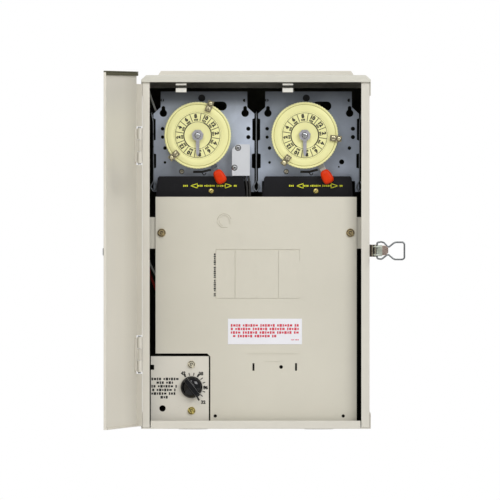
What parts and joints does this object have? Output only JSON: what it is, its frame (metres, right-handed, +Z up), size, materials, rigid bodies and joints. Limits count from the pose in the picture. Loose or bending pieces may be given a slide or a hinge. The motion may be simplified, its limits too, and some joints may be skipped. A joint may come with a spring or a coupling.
{
  "type": "irrigation controller",
  "caption": "Wall-hung steel irrigation controller: hinged door, twin dial time switches, dead-front over a load centre, freeze thermostat and bail latch.",
  "frame": {"origin": "centre of the four wall-screw holes, on the back face", "axes": "+X to the right seen from the front, -Y out of the door side towards the user, +Z up"},
  "size_m": [0.3343, 0.3825, 0.3996],
  "materials": {
    "case_paint": "satin beige paint",
    "roof_paint": "satin beige paint",
    "door_paint": "satin beige paint",
    "panel_paint": "satin beige paint",
    "plug_steel": "zinc plated",
    "seal": "matt foam",
    "zinc_steel": "zinc plated",
    "bronze_finish": "dark bronze",
    "tab_metal": "plated",
    "bright_wire": "bright",
    "antique_brass": "antique",
    "label_white": "printed film",
    "dark_plastic": "matt",
    "copper": "copper",
    "bar_aluminium": "plain",
    "knob_black": "gloss",
    "timer_zinc": "zinc plated, blue-grey",
    "pointer_metal": "satin",
    "dial_yellow": "pale yellow print",
    "gear_brass": "plain",
    "tripper_metal": "plated",
    "motor_can": "dark enamel",
    "lever_steel": "plated",
    "knob_orange": "orange-red",
    "brass": "plain",
    "cover_black": "fibre board",
    "switch_grey": "light grey",
    "clip_white": "off-white",
    "wire_red": "insulation",
    "wire_dark": "insulation",
    "wire_grey": "insulation"
  },
  "bodies": {
    "enclosure": {"back_box": "case_paint", "bottom_pan": "case_paint", "roof_cap": "roof_paint", "conduit_plugs": "plug_steel", "hinge_box_leaves": "case_paint", "hinge_pins": "zinc_steel", "latch_base": "bronze_finish", "latch_clevis": "zinc_steel", "latch_tab": "tab_metal", "latch_rivets": "zinc_steel", "deadfront_panel": "panel_paint", "deadfront_brackets": "panel_paint", "deadfront_screws": "antique_brass", "panel_label": "label_white", "load_centre_base": "dark_plastic", "bus_bars": "copper", "terminal_bars": "bar_aluminium", "thermostat_plate": "panel_paint", "thermostat_body": "dark_plastic", "thermostat_screws": "antique_brass", "thermostat_sensor": "copper", "left_timer_plate": "timer_zinc", "right_timer_plate": "timer_zinc", "timer_posts": "zinc_steel", "dial_arbors": "zinc_steel", "dial_pointers": "pointer_metal", "left_motor": "motor_can", "right_motor": "motor_can", "left_switch_block": "dark_plastic", "right_switch_block": "dark_plastic", "terminal_screws": "brass", "left_cover": "cover_black", "right_cover": "cover_black", "cover_screws": "brass", "fireman_switch": "switch_grey", "fireman_screws": "zinc_steel", "top_clips": "clip_white", "plate_screws": "zinc_steel", "retaining_wires": "zinc_steel", "red_wires": "wire_red", "dark_wires": "wire_dark", "grey_wires": "wire_grey"},
    "door": {"door_panel": "door_paint", "door_top_strip": "seal", "door_strike": "zinc_steel", "hinge_door_leaves": "door_paint"},
    "bail": {"latch_bail": "bright_wire"},
    "left_dial_body": {"left_dial": "dial_yellow", "left_dial_gear": "gear_brass", "left_trippers": "tripper_metal"},
    "right_dial_body": {"right_dial": "dial_yellow", "right_dial_gear": "gear_brass", "right_trippers": "tripper_metal"},
    "left_pinion_body": {"left_pinion": "zinc_steel"},
    "right_pinion_body": {"right_pinion": "zinc_steel"},
    "left_lever": {"left_trip_lever": "lever_steel", "left_lever_knob": "knob_orange"},
    "right_lever": {"right_trip_lever": "lever_steel", "right_lever_knob": "knob_orange"},
    "thermostat_knob_body": {"thermostat_knob": "knob_black"}
  },
  "joints": [
    {"name": "door_swing", "type": "hinge", "parent": "enclosure", "child": "door", "pos_m": [-0.1294, -0.1294, 0.002], "axis": [0, 0, 1], "range_deg": [-72, 97.5]},
    {"name": "latch_bail_swing", "type": "hinge", "parent": "enclosure", "child": "bail", "pos_m": [0.1345, -0.1366, 0.002], "axis": [0, 0, 1], "range_deg": [-178, 0]},
    {"name": "left_dial_turn", "type": "hinge", "parent": "enclosure", "child": "left_dial_body", "pos_m": [-0.0649, -0.1, 0.13], "axis": [0, -1, 0], "continuous": true},
    {"name": "right_dial_turn", "type": "hinge", "parent": "enclosure", "child": "right_dial_body", "pos_m": [0.0543, -0.1, 0.13], "axis": [0, -1, 0], "continuous": true},
    {"name": "left_pinion_turn", "type": "hinge", "parent": "enclosure", "child": "left_pinion_body", "pos_m": [-0.0649, -0.092, 0.16015], "axis": [0, -1, 0], "continuous": true},
    {"name": "right_pinion_turn", "type": "hinge", "parent": "enclosure", "child": "right_pinion_body", "pos_m": [0.0543, -0.092, 0.16015], "axis": [0, -1, 0], "continuous": true},
    {"name": "left_lever_trip", "type": "hinge", "parent": "enclosure", "child": "left_lever", "pos_m": [-0.0649, -0.09, 0.13], "axis": [0, -1, 0], "range_deg": [-44, 0]},
    {"name": "right_lever_trip", "type": "hinge", "parent": "enclosure", "child": "right_lever", "pos_m": [0.0543, -0.09, 0.13], "axis": [0, -1, 0], "range_deg": [-44, 0]},
    {"name": "thermostat_knob_turn", "type": "hinge", "parent": "enclosure", "child": "thermostat_knob_body", "pos_m": [-0.0717, -0.112, -0.1501], "axis": [0, -1, 0], "range_deg": [-10, 165]}
  ],
  "couplings": [
    {"joint": "left_pinion_turn", "follows": "left_dial_turn", "ratio": -4},
    {"joint": "right_pinion_turn", "follows": "right_dial_turn", "ratio": -4}
  ]
}
